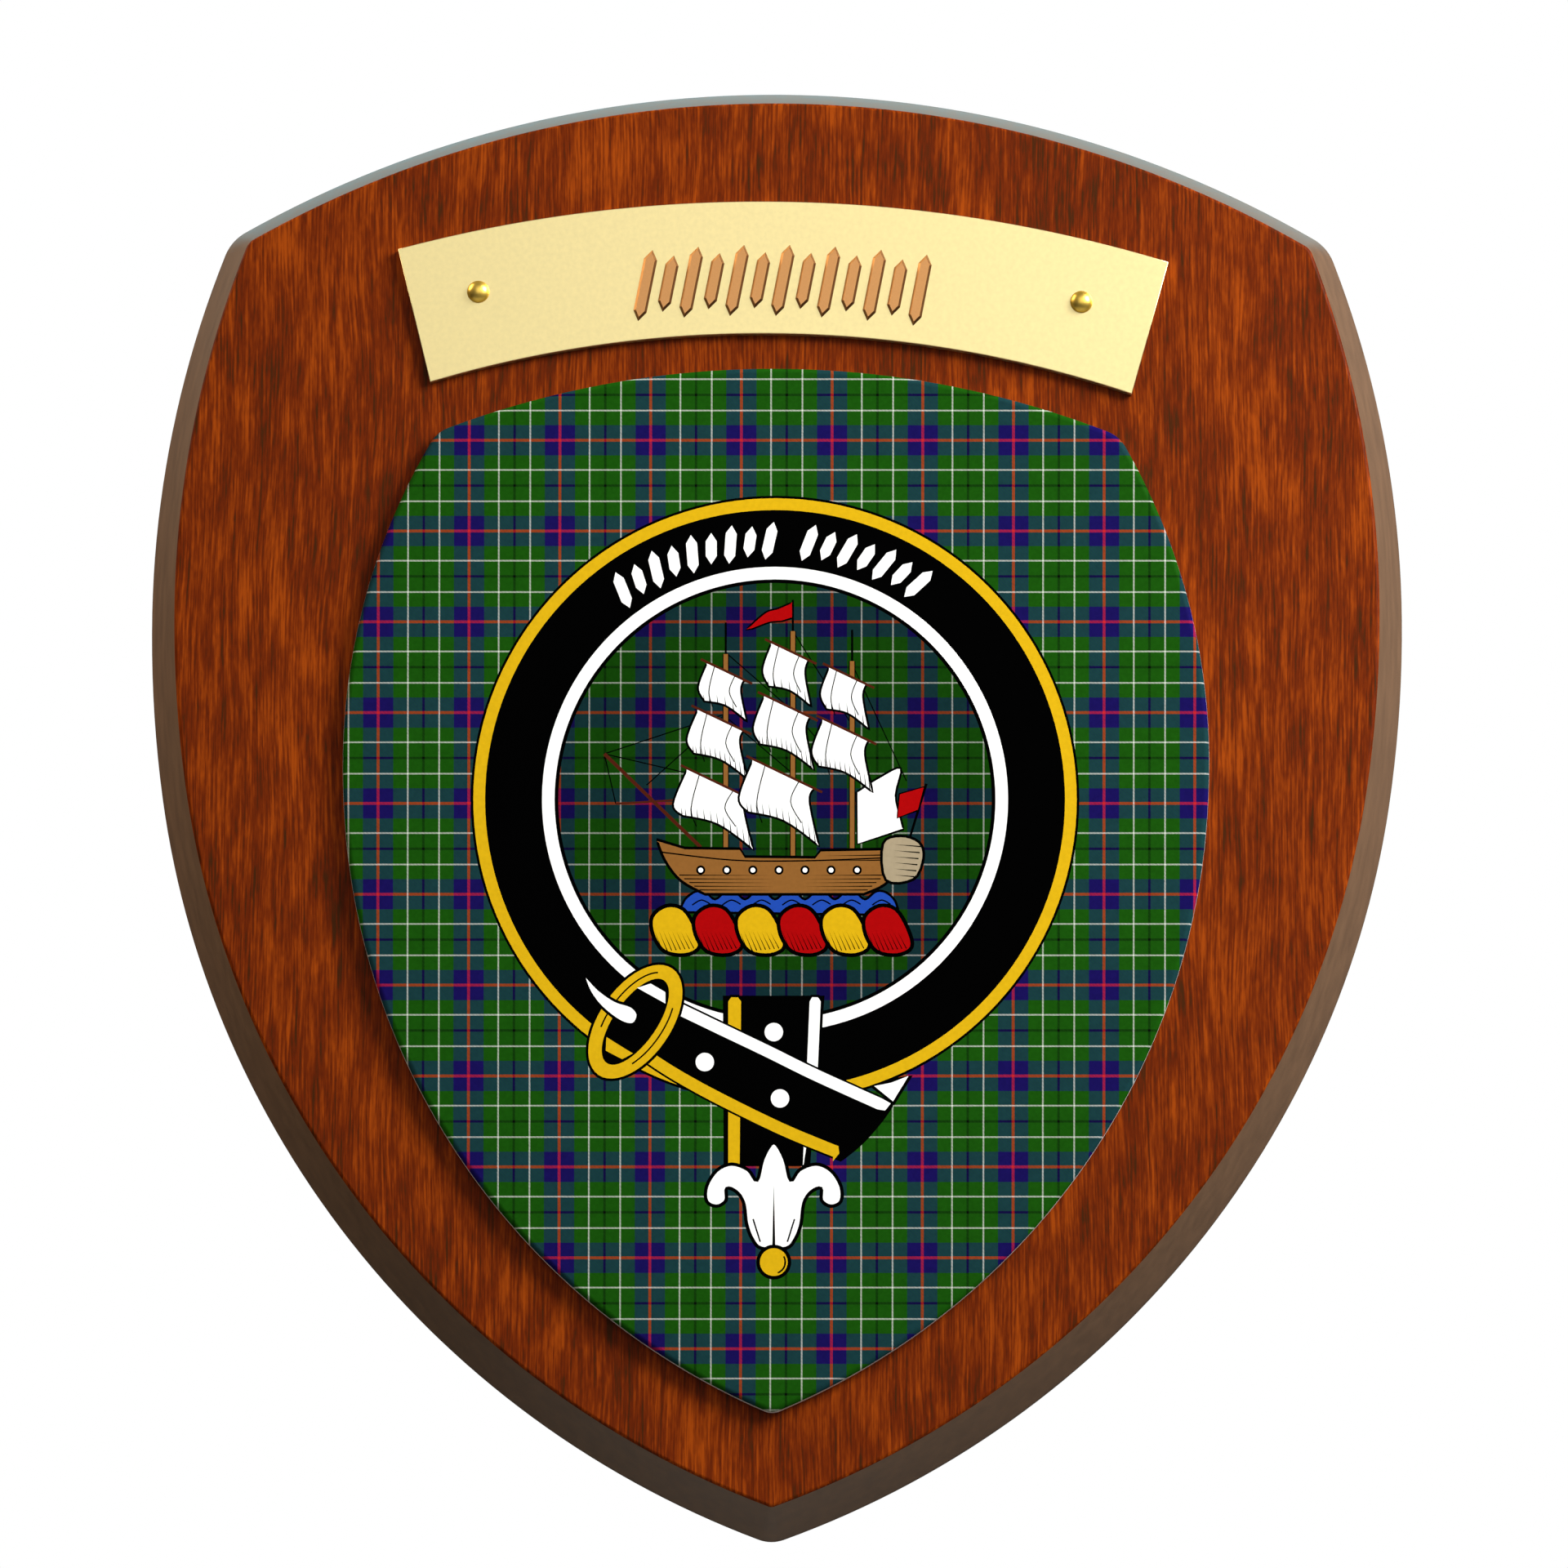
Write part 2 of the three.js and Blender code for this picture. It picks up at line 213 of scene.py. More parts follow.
class PlaqueStage(PropertyGroup):
    """Camera and light"""
    camera_distance: length("Camera distance", "Camera to the board's face", 1000)
    camera_drop: angle("Camera drop", "How far the camera looks up", 10.07)
    camera_roll: angle("Camera roll", "Turn about the line of sight", 0.35)
    field: angle("Field of view", "Across the picture", 12.56)
    floor_drop: length("Floor drop", "Floor below the plaque's middle", 1500)
    floor_size: length("Floor size", "Across the floor", 3000)
    key: number("Key light", "Watts from the front right, above", 12.5)
    fill: number("Fill light", "Watts from far in front", 6.6)
    kicker: number("Kicker light", "Watts from the left, above", 7.9)
    top: number("Top light", "Watts from above and behind", 3.8)
    room_bright: number("Bright side", "Room light from the upper right", 0.24)
    room_dim: number("Dim side", "Room light from the lower left", 0.0)


class PlaqueSettings(PropertyGroup):
    """Everything that can be changed on the plaque"""
    board: PointerProperty(type=PlaqueBoard)
    panel: PointerProperty(type=PlaquePanel)
    plate: PointerProperty(type=PlaquePlate)
    stage: PointerProperty(type=PlaqueStage)


# Shapes on the plan, as seen from the front: x to the right, y up, in metres

def arc_radius(half_chord, rise):
    """Radius of the arc that rises by `rise` over half its chord."""
    return (half_chord ** 2 + rise ** 2) / (2 * rise)


def direction(turn):
    return Vector((math.cos(turn), math.sin(turn)))


def turn_towards(start, end):
    return math.atan2(end.y - start.y, end.x - start.x)


def circle_crossing(centre_a, radius_a, centre_b, radius_b):
    """Right-hand crossing of two circles."""
    between = centre_b - centre_a
    distance = between.length
    along = (radius_a ** 2 - radius_b ** 2 + distance ** 2) / (2 * distance)
    across = math.sqrt(radius_a ** 2 - along ** 2)
    unit = between / distance
    foot = centre_a + along * unit
    side = Vector((unit.y, -unit.x)) * across
    return max(foot + side, foot - side, key=lambda place: place.x)


def shield_outline(shield, inset, shoulder_radius, point_radius):
    """Closed outline of a shield, anticlockwise from its point: tangent arcs up the right and their
    mirror."""
    half_width = shield.width / 2
    widest = shield.crown - shield.widest_drop
    crown_radius = arc_radius(half_width - shield.shoulder_inset, shield.shoulder_drop)
    crown = Vector((0, shield.crown - crown_radius))
    side_radius = arc_radius(shield.widest_drop - shield.shoulder_drop, shield.shoulder_inset)
    side = Vector((half_width - side_radius, widest))
    flank = Vector((half_width - shield.flank_radius, widest))
    outward = direction(-shield.flank_sweep)
    flank_end = flank + outward * shield.flank_radius
    to_flank_end = flank_end - Vector((0, shield.crown - shield.height))
    lower_radius = to_flank_end.length_squared / (2 * to_flank_end.dot(outward))
    lower = flank_end - outward * lower_radius
    reach = lower_radius - inset - point_radius
    point = Vector((0, lower.y - math.sqrt(reach ** 2 - lower.x ** 2)))
    shoulder = circle_crossing(
        side, side_radius - inset - shoulder_radius, crown, crown_radius - inset - shoulder_radius)

    # Each arc has its centre, its radius, the turn where it ends and its steps per radian
    fine, coarse = 10, 55
    arcs = [
        (point, point_radius, turn_towards(lower, point), fine),
        (lower, lower_radius - inset, -shield.flank_sweep, coarse),
        (flank, shield.flank_radius - inset, 0, coarse),
        (side, side_radius - inset, turn_towards(side, shoulder), coarse),
        (shoulder, shoulder_radius, turn_towards(crown, shoulder), fine),
        (crown, crown_radius - inset, math.pi / 2, coarse),
    ]
    right = []
    start = -math.pi / 2
    for centre, radius, end, density in arcs:
        steps = max(2, math.ceil((end - start) * density))
        right += [centre + direction(start + (end - start) * i / steps) * radius for i in range(steps)]
        start = end
    bottom = Vector((0, right.pop(0).y))
    top = Vector((0, shield.crown - inset))
    left = [Vector((-place.x, place.y)) for place in reversed(right)]
    return [bottom, *right, top, *left]


def turned(points, turn, place=Vector((0, 0))):
    """The points turned anticlockwise about the origin, then moved to `place`."""
    rotation = Matrix.Rotation(turn, 2)
    return [rotation @ Vector(point) + Vector(place) for point in points]


def ellipse(centre, long_radius, short_radius, tilt=0.0, steps=48):
    corners = [direction(2 * math.pi * i / steps) for i in range(steps)]
    return turned([(c.x * long_radius, c.y * short_radius) for c in corners], tilt, centre)


def disc(centre, radius, steps=48):
    return ellipse(centre, radius, radius, 0.0, steps)


def arc(centre, radius, start, end, steps):
    """Points along an arc, both ends included, with turns in degrees."""
    turns = [math.radians(start + (end - start) * i / steps) for i in range(steps + 1)]
    return [Vector(centre) + direction(turn) * radius for turn in turns]


def smooth_line(points, closed=False, steps=5):
    """A curve that passes through the points."""
    points = [Vector(point) for point in points]
    count = len(points)
    # Beyond its ends a closed line goes round again, and an open one repeats its end
    around = [*points[-1:], *points, *points[:2]] if closed else [points[0], *points, points[-1]]
    line = []
    for i in range(count if closed else count - 1):
        a, b, c, d = around[i:i + 4]
        for step in range(steps):
            t = step / steps
            square = (2 * a - 5 * b + 4 * c - d) * t ** 2
            cube = (3 * b - a - 3 * c + d) * t ** 3
            line.append(0.5 * (2 * b + (c - a) * t + square + cube))
    return line if closed else [*line, points[-1]]


def stroke_outline(width, height, lean):
    """A slanted bar with a point at each end."""
    half = width / 2
    tip = 0.75 * width
    shoulder = height / 2 - tip
    corners = [
        (-half, -shoulder), (0, -height / 2), (half, -shoulder),
        (half, shoulder), (0, height / 2), (-half, shoulder),
    ]
    return turned(corners, -lean)


# Mesh helpers

# Share of a face's normal that points off the wall, from which it counts as flat
FLAT = 0.999


def on_plan(point, out):
    """A point of the plan, `out` metres off the wall, in the plaque's frame."""
    return Vector((point[0], -out, point[1]))


def stacked(bm, layers):
    """A closed solid through outlines of equal length, given with their heights from back to front."""
    index = bm.verts.layers.int.new("index")
    outline, out = layers[0]
    corners = [bm.verts.new(on_plan(point, out)) for point in outline]
    for i, corner in enumerate(corners):
        corner[index] = i
    face = bm.faces.new(reversed(corners))
    for number, (outline, out) in enumerate(layers[1:]):
        grown = bmesh.ops.extrude_face_region(bm, geom=[face])["geom"]
        if number > 0:
            bmesh.ops.delete(bm, geom=[face], context="FACES_ONLY")
        for corner in grown:
            if isinstance(corner, bmesh.types.BMVert):
                corner.co = on_plan(outline[corner[index]], out)
        face = next(part for part in grown if isinstance(part, bmesh.types.BMFace))
    bmesh.ops.recalc_face_normals(bm, faces=bm.faces)
    return face


def rim_edges(bm, out):
    """Edges that run round the solid at one height off the wall."""
    near = 1e-6
    return [e for e in bm.edges if all(abs(corner.co.y + out) < near for corner in e.verts)]


def round_edges(bm, edges, radius, segments):
    return bmesh.ops.bevel(
        bm, geom=edges, offset=radius, offset_type="OFFSET", affect="EDGES",
        segments=segments, profile=0.5, material=-1, clamp_overlap=True)["faces"]


def front_face(bm):
    """The largest of the faces that lie furthest to the front."""
    return min(bm.faces, key=lambda face: (round(face.calc_center_median().y, 7), -face.calc_area()))


def inside(points, loop):
    """Which of the points lie inside a closed loop, by counting the edges that each one sees to its right."""
    hits = np.zeros(len(points), bool)
    x, y = points[:, 0], points[:, 1]
    for (ax, ay), (bx, by) in zip(loop, np.roll(loop, -1, axis=0)):
        if ay != by:
            crossing = ax + (y - ay) * (bx - ax) / (by - ay)
            hits ^= ((ay > y) != (by > y)) & (x < crossing)
    return hits


def divide_face(bm, face, regions):
    """Cuts a flat front face into the regions, the later ones on top. Returns the new faces of each region,
    with those outside every region first."""
    outline = list(face.verts)
    out = -outline[0].co.y
    loops = [[(corner.co.x / MM, corner.co.z / MM) for corner in outline]]
    loops += [[(point[0] / MM, point[1] / MM) for point in region] for region in regions]
    flat, edges = [], []
    for loop in loops:
        start = len(flat)
        flat += [Vector(point) for point in loop]
        edges += [(start + i, start + (i + 1) % len(loop)) for i in range(len(loop))]
    border = list(range(len(outline)))
    if sum(flat[i].cross(flat[(i + 1) % len(border)]) for i in border) < 0:
        border.reverse()
    inside_border, merge_within = 1, 1e-5
    places, _, triangles, made_from, _, _ = delaunay_2d_cdt(
        flat, edges, [border], inside_border, merge_within, True)
    bmesh.ops.delete(bm, geom=[face], context="FACES_ONLY")
    corners = []
    for place, sources in zip(places, made_from):
        old = [source for source in sources if source < len(outline)]
        corners.append(outline[old[0]] if old else bm.verts.new(on_plan(place * MM, out)))
    middles = np.array([sum((places[i] for i in triangle), Vector((0, 0))) / 3 for triangle in triangles])
    owner = np.full(len(triangles), -1)
    for number, loop in enumerate(loops):
        loop = np.array(loop)
        near = np.flatnonzero(((middles >= loop.min(0)) & (middles <= loop.max(0))).all(1))
        owner[near[inside(middles[near], loop)]] = number
    parts = [[] for _ in loops]
    for number, triangle in zip(owner, triangles):
        if number >= 0:
            parts[number].append(bm.faces.new([corners[i] for i in triangle]))
    return parts


def add_object(name, bm, materials, node):
    """Makes the mesh an object that stands for a node of the frame."""
    mesh = bpy.data.meshes.new(name)
    bm.to_mesh(mesh)
    bm.free()
    for material in materials:
        mesh.materials.append(material)
    piece = bpy.data.objects.new(name, mesh)
    bpy.context.scene.collection.objects.link(piece)
    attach(piece, BODY)
    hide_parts(node)
    return piece


def cylinder(bm, place, radius, low, high, sides=32):
    """A round cutter between two heights off the wall."""
    made = bmesh.ops.create_cone(
        bm, cap_ends=True, segments=sides, radius1=radius, radius2=radius, depth=high - low)["verts"]
    bmesh.ops.rotate(bm, verts=made, matrix=Matrix.Rotation(math.pi / 2, 3, "X"))
    bmesh.ops.translate(bm, verts=made, vec=on_plan(place, (low + high) / 2))


def pin_holes(bm, plate, low, high):
    """Cutters for the holes that the pins' shanks stand in."""
    for place in PIN_PLACES:
        cylinder(bm, place, plate.pin_shank / 2 + plate.pin_clearance, low, high)


def slot_cutter(bm, width, bottom, top, low, high):
    """An upright cutter with round ends."""
    radius = width / 2
    steps = 16
    outline = arc((0, bottom), radius, 180, 360, steps) + arc((0, top), radius, 0, 180, steps)
    stacked(bm, [(outline, low), (outline, high)])


def cut_away(bm, cutters):
    """The solid less the cutters. Its new faces take the cutters' material numbers."""
    scene = bpy.context.scene
    shown = []
    for name, part in (("solid", bm), ("cutters", cutters)):
        mesh = bpy.data.meshes.new(name)
        part.to_mesh(mesh)
        part.free()
        item = bpy.data.objects.new(name, mesh)
        scene.collection.objects.link(item)
        shown.append(item)
    solid, tool = shown
    boolean = solid.modifiers.new("cut", "BOOLEAN")
    boolean.operation = "DIFFERENCE"
    boolean.solver = "EXACT"
    boolean.use_self = True
    boolean.object = tool
    depsgraph = bpy.context.evaluated_depsgraph_get()
    result = bpy.data.meshes.new_from_object(solid.evaluated_get(depsgraph))
    cut = bmesh.new()
    cut.from_mesh(result)
    for item in shown:
        mesh = item.data
        bpy.data.objects.remove(item)
        bpy.data.meshes.remove(mesh)
    bpy.data.meshes.remove(result)
    return cut


# Materials

def add_node(tree, kind, settings=None, inputs=None, stops=None):
    """Adds a shader node with its settings, its links or values, and the stops of its colour ramp."""
    node = tree.nodes.new(f"ShaderNode{kind}")
    for name, value in (settings or {}).items():
        setattr(node, name, value)
    for name, value in (inputs or {}).items():
        if isinstance(value, bpy.types.NodeSocket):
            tree.links.new(value, node.inputs[name])
        else:
            node.inputs[name].default_value = value
    for i, (place, shade) in enumerate(stops or ()):
        element = node.color_ramp.elements[i] if i < 2 else node.color_ramp.elements.new(place)
        element.position = place
        element.color = (*shade, 1)
    return node


def start_material(name, **values):
    """A named material with its shader's plain values set."""
    material = bpy.data.materials.new(name)
    material.use_nodes = True
    tree = material.node_tree
    shader = tree.nodes["Principled BSDF"]
    for socket, value in values.items():
        shader.inputs[socket.replace("_", " ")].default_value = value
    return material, tree, shader


def stretched_noise(tree, across, along, detail, distortion=0.0, place=None):
    """Noise whose spots are `across` millimetres wide and `along` millimetres long down the plaque."""
    place = place or add_node(tree, "TexCoord").outputs["Object"]
    wide = 1 / (across * MM)
    scale = (wide, wide, 1 / (along * MM))
    mapping = add_node(tree, "Mapping", {}, {"Vector": place, "Scale": scale})
    noise = add_node(tree, "TexNoise", {}, {
        "Vector": mapping.outputs["Vector"], "Scale": 1.0, "Detail": detail, "Distortion": distortion})
    return noise.outputs["Fac"]


def tinted(shade, share):
    return [min(1, share * part) for part in shade]


def tie_to_noise(tree, shader, spots, stops, roughness=None, bump=None):
    """Lets noise pick the colour from a ramp's stops, and where they are given the roughness between two
    values and a bump of a strength and a depth in millimetres."""
    shades = add_node(tree, "ValToRGB", {}, {"Fac": spots}, stops)
    tree.links.new(shades.outputs["Color"], shader.inputs["Base Color"])
    if roughness:
        low, high = roughness
        rough = add_node(tree, "MapRange", {}, {"Value": spots, "To Min": low, "To Max": high})
        tree.links.new(rough.outputs["Result"], shader.inputs["Roughness"])
    if bump:
        strength, depth = bump
        relief = add_node(tree, "Bump", {}, {
            "Height": spots, "Strength": strength, "Distance": depth * MM})
        tree.links.new(relief.outputs["Normal"], shader.inputs["Normal"])


def textured(name, spots, stops, roughness=None, bump=None, **values):
    """A material whose look follows one noise. `spots` is the noise's size across and along, its detail and
    any distortion."""
    material, tree, shader = start_material(name, **values)
    tie_to_noise(tree, shader, stretched_noise(tree, *spots), stops, roughness, bump)
    return material


def mahogany_face(board):
    """Mahogany veneer, stained and satin lacquered: fine orange lines run down it between darker ones, and
    broader brown clouds show where the stain has sunk in deeper."""
    material, tree, shader = start_material("Mahogany veneer, satin lacquer", Specular_IOR_Level=0.035)
    # The grain sways a little from side to side on its way down the board
    reach = 1.5 * MM
    coordinates = add_node(tree, "TexCoord").outputs["Object"]
    sway = stretched_noise(tree, 14, 40, 1.0)
    shift = add_node(tree, "MapRange", {}, {"Value": sway, "To Min": -reach, "To Max": reach})
    offset = add_node(tree, "CombineXYZ", {}, {"X": shift.outputs["Result"]})
    swayed = add_node(tree, "VectorMath", {"operation": "ADD"}, {
        0: coordinates, 1: offset.outputs["Vector"]})
    # Each pattern's spots across and along the grain, in millimetres, and its share of the figure
    patterns = (
        (0.3, 8, 0.3), (0.32, 1.8, 0.14), (0.8, 16, 0.16), (1.8, 12, 0.15), (4.5, 9, 0.13), (14, 36, 0.12))
    figure = 0
    for across, along, share in patterns:
        spots = stretched_noise(tree, across, along, 1.0, 0.2, swayed.outputs["Vector"])
        figure = add_node(tree, "Math", {"operation": "MULTIPLY_ADD"}, {
            0: spots, 1: share, 2: figure}).outputs[0]
    # A ramp has its two ends first and then the stops between them
    stops = [
        (0.4, board.clouds), (0.605, board.grain_light), (0.457, board.grain_dark), (0.505, board.grain)]
    tie_to_noise(tree, shader, figure, stops, (0.38, 0.52), (0.15, 0.04))
    return material


def stained_edge(board):
    """Sprayed dark stain over the machined bevel: nearly matt and even, with a faint trace of the grain."""
    stops = [(0.3, tinted(board.stain, 0.85)), (0.7, tinted(board.stain, 1.12))]
    return textured("Dark sprayed stain, machined edge", (1.6, 9, 3.0), stops, (0.42, 0.54), (0.1, 0.05))


def bare_wood(board):
    """Unfinished sanded wood: paler than the front, without any shine, and with soft straight grain."""
    stops = [(0.34, tinted(board.back, 0.62)), (0.66, tinted(board.back, 1.1))]
    return textured("Bare mahogany, sanded", (1.1, 22, 4.0, 0.2), stops, None, (0.2, 0.08), Roughness=0.75)


def printed_tartan(panel, name, shade):
    """Tartan printed on coated metal: woven colours that mix half and half where bands cross, satin to the
    eye."""
    material, tree, shader = start_material(name, Roughness=0.42, Specular_IOR_Level=0.005)
    coordinates = add_node(tree, "TexCoord")
    # Moves a crossing of two red lines to the pattern's origin
    crossing = (4.872 * MM, 0, 1.754 * MM)
    mapping = add_node(tree, "Mapping", {}, {
        "Vector": coordinates.outputs["Object"], "Rotation": (0, panel.print_turn, 0), "Location": crossing})
    # The print is drawn a little smaller towards the foot
    height = add_node(tree, "SeparateXYZ", {}, {"Vector": mapping.outputs["Vector"]})
    shrink = add_node(tree, "Math", {"operation": "MULTIPLY_ADD"}, {
        0: height.outputs["Z"], 1: -panel.print_taper, 2: 1.0})
    even = add_node(tree, "VectorMath", {"operation": "SCALE"}, {
        0: mapping.outputs["Vector"], "Scale": shrink.outputs[0]})
    axes = add_node(tree, "SeparateXYZ", {}, {"Vector": even.outputs["Vector"]})
    # From the middle of a blue band to the middle of a green one, as shares of half the repeat
    black = (0.002, 0.003, 0.002)
    stops = [
        (0.0, panel.red), (0.031, panel.blue), (0.329, panel.green),
        (0.633, panel.white), (0.67, panel.green), (0.97, black)]
    threads = []
    for axis, sett in (("X", panel.sett_across), ("Z", panel.sett_down)):
        half = sett / 2
        along = add_node(tree, "Math", {"operation": "PINGPONG"}, {0: axes.outputs[axis], 1: half})
        share = add_node(tree, "Math", {"operation": "DIVIDE"}, {0: along.outputs[0], 1: half})
        bands = add_node(tree, "ValToRGB", {}, {"Fac": share.outputs[0]}, stops)
        bands.color_ramp.interpolation = "CONSTANT"
        threads.append(bands.outputs["Color"])
    # The real threads are too thin to show, so the twill's diagonal is drawn at half a millimetre
    rib = 0.25 * MM
    diagonal = add_node(tree, "Math", {"operation": "ADD"}, {
        0: axes.outputs["X"], 1: axes.outputs["Z"]})
    twill = add_node(tree, "Math", {"operation": "PINGPONG"}, {0: diagonal.outputs[0], 1: rib})
    share = add_node(tree, "MapRange", {}, {
        "Value": twill.outputs[0], "From Max": rib, "To Min": 0.42, "To Max": 0.58})
    colours = {"data_type": "RGBA"}
    woven = add_node(tree, "Mix", colours, {
        "Factor": share.outputs["Result"], 6: threads[0], 7: threads[1]}).outputs[2]
    ink = stretched_noise(tree, 0.5, 0.5, 2.0)
    shades = add_node(tree, "ValToRGB", {}, {"Fac": ink}, [
        (0.25, [0.88 * shade] * 3), (0.75, [1.08 * shade] * 3)])
    printed = add_node(tree, "Mix", {**colours, "blend_type": "MULTIPLY"}, {
        "Factor": 1.0, 6: woven, 7: shades.outputs["Color"]}).outputs[2]
    tree.links.new(printed, shader.inputs["Base Color"])
    return material


def white_coat():
    """The white base coat that the ink is printed on: satin, and seen as a thin pale line where the print
    stops."""
    stops = [(0.3, linear("#E2E1DC")), (0.7, linear("#ECEBE7"))]
    return textured("White base coat, baked enamel", (0.8, 0.8, 2.0), stops, (0.36, 0.46))


def printed_ink(name, shade):
    """One flat ink of the badge, printed over the coated metal: even and satin, with a trace of ink grain."""
    stops = [(0.3, tinted(shade, 0.95)), (0.7, tinted(shade, 1.03))]
    return textured(
        f"{name} ink on coated aluminium", (0.6, 0.6, 2.0), stops, Roughness=0.42, Specular_IOR_Level=0.005)


def metal(name, shade, roughness, grit):
    """A metal whose tone and roughness wander a little over spots of the grit's size, so that its shine is
    uneven."""
    stops = [(0.3, tinted(shade, 0.93)), (0.7, shade)]
    return textured(name, (grit, grit, 3.0), stops, roughness, Metallic=1.0)


# The printed badge, drawn in millimetres from the belt's centre, x to the right and y up

BELT_RADIUS = 42.6
OUTLINE = 0.55


class Badge:
    """Flat shapes of ink, the later ones on top."""

    def __init__(self):
        self.shapes = []
        self.inks = []

    def fill(self, points, ink):
        self.shapes.append([Vector(point) for point in points])
        self.inks.append(ink)

    def line(self, points, width, ink="black", closed=False):
        """An even line, drawn as one four-sided shape for each stretch."""
        points = [Vector(point) for point in points]
        count = len(points)
        sides = []
        for i, point in enumerate(points):
            before = points[i - 1] if closed or i > 0 else point
            after = points[(i + 1) % count] if closed or i < count - 1 else point
            along = (after - before).normalized()
            across = Vector((-along.y, along.x)) * width / 2
            sides.append((point + across, point - across))
        for i in range(count if closed else count - 1):
            (a, b), (c, d) = sides[i], sides[(i + 1) % count]
            self.fill([a, b, d, c], ink)

    def outlined(self, points, ink, width=OUTLINE):
        self.fill(points, ink)
        self.line(points, width, "black", True)

    def spike(self, start, end, width, ink="black"):
        """A pen stroke that thins to nothing."""
        along = (Vector(end) - Vector(start)).normalized()
        across = Vector((-along.y, along.x)) * width / 2
        self.fill([Vector(start) + across, Vector(start) - across, Vector(end)], ink)


def draw_belt_ring(badge):
    """The belt, bent to a ring, with a gold border outside and a white one inside."""
    for radius, ink in (
            (BELT_RADIUS, "black"), (42.25, "gold"), (40.6, "black"),
            (32.63, "white"), (30.87, "black"), (30.35, "dark tartan")):
        badge.fill(disc((0, 0), radius, 144), ink)


def draw_belt_strokes(badge):
    """Two groups of plain strokes along the top of the belt."""
    middle_radius = 36.3
    pitch = 4.35
    for group_start, count in ((126, 9), (82.5, 7)):
        for i in range(count):
            turn = math.radians(group_start - i * pitch)
            height = 5.4 if i % 2 == 0 else 4.4
            stroke = stroke_outline(1.55, height, math.radians(14))
            badge.fill(turned(stroke, turn - math.pi / 2, direction(turn) * middle_radius), "white")


def draw_hanging_strap(badge):
    """The belt's tail, passed over the ring and hanging down behind the buckled strap."""
    badge.fill([(-7.3, -27.5), (6.95, -27.5), (4.9, -51.4), (-7.2, -51.4)], "black")
    gold = [(-6.75, -28.3), (-6.2, -27.55), (-5.1, -27.55), (-4.55, -28.3), (-4.75, -51.2), (-6.75, -51.2)]
    white = [
        (4.65, -28.3), (5.1, -27.55), (6.1, -27.55), (6.6, -28.3), (6.15, -38.5), (4.2, -51.2), (3.7, -51.2)]
    badge.outlined(gold, "gold", 0.4)
    badge.outlined(white, "white", 0.4)
    badge.fill(disc((-0.17, -32.6), 1.3, 24), "white")


def draw_buckled_strap(badge):
    """The strap end, pulled through the buckle and down to the right."""
    upper = smooth_line([
        (-19.4, -25.6), (-12.7, -28.8), (-7.3, -31.4), (-0.6, -34.6), (6.1, -37.9), (16.5, -42.6)])
    lower = smooth_line([
        (-24.0, -32.6), (-17.1, -37.5), (-12.0, -40.6), (-5.9, -43.8), (1.4, -47.3), (9.2, -50.5)])
    end = smooth_line([upper[-1], (14.9, -44.9), (12.2, -48.0), lower[-1]], False, 4)
    fold = [(13.6, -40.2), (16.6, -42.6), (19.0, -38.7), (16.2, -39.4)]
    badge.outlined(fold, "white", 0.6)
    outline = upper + end[1:-1] + lower[::-1]
    badge.fill(outline, "black")
    badge.line(outline, OUTLINE, "black", True)
    edge = 1.65
    upper_inner = [point + Vector((-0.42, -0.9)) * edge for point in upper]
    badge.fill(upper[:-1] + [(16.2, -42.6), (15.4, -43.6)] + upper_inner[::-1][1:], "white")
    lower_inner = [point + Vector((0.45, 0.9)) * edge for point in lower]
    badge.fill(lower[:-1] + [(8.1, -50.7), (9.0, -49.6)] + lower_inner[::-1][1:], "gold")
    for place in ((-9.83, -36.8), (0.7, -41.9)):
        badge.fill(disc(place, 1.3, 24), "white")


def draw_buckle(badge):
    """A tilted oval buckle and its prong."""
    centre = Vector((-19.55, -31.15))
    tilt = math.radians(55.2)
    ring = [(9.45, 5.35, "black"), (9.07, 4.97, "gold"), (7.05, 3.0, "black")]
    opening = ellipse(centre, 6.7, 2.65, tilt)
    for long_radius, short_radius, ink in ring:
        badge.fill(ellipse(centre, long_radius, short_radius, tilt), ink)
    badge.fill(opening, "black")
    badge.fill([(-19.3, -26.4), (-17.4, -25.8), (-15.35, -27.0), (-15.35, -28.6)], "white")
    badge.fill([(-23.6, -33.3), (-19.9, -35.6), (-21.4, -36.4), (-23.7, -35.2)], "gold")
    shine = ellipse(centre, 7.95, 3.9, tilt, 72)
    badge.line(shine[4:24], 0.22)
    badge.line(shine[46:62], 0.22)
    prong = smooth_line([
        (-26.7, -24.6), (-24.7, -26.6), (-22.4, -28.2), (-20.1, -29.0), (-19.2, -30.2),
        (-19.9, -31.5), (-21.7, -31.1), (-24.2, -29.2), (-25.9, -27.0)], True, 4)
    badge.outlined(prong, "white", 0.4)


def draw_chape(badge):
    """Metal end of the strap: a leaf between two curled ones, with a ball below."""
    right = [
        (0, -48.1), (1.5, -50.3), (2.35, -53.4), (3.6, -51.9), (5.9, -51.1), (8.0, -52.0), (9.4, -54.2),
        (9.4, -56.3), (8.0, -57.0), (6.7, -56.2), (6.6, -54.5), (5.2, -55.0), (4.2, -56.6), (3.8, -59.5),
        (3.0, -61.6), (1.7, -62.9)]
    left = [(-x, y) for x, y in reversed(right[1:])]
    leaf = smooth_line(right + left, True, 4)
    leaf = [point + Vector((-0.17, 0)) for point in leaf]
    badge.outlined(leaf, "white", 0.5)
    badge.spike((-0.17, -62.4), (-0.17, -54.0), 0.42)
    for hand in (-1, 1):
        badge.line(smooth_line([(-0.17 + hand * 1.9, -62.0), (-0.17 + hand * 2.9, -58.8)]), 0.22)
    badge.outlined(disc((-0.17, -64.83), 2.2, 32), "gold", 0.5)
    badge.line(arc((-0.17, -64.83), 1.6, -70, 30, 10), 0.24)


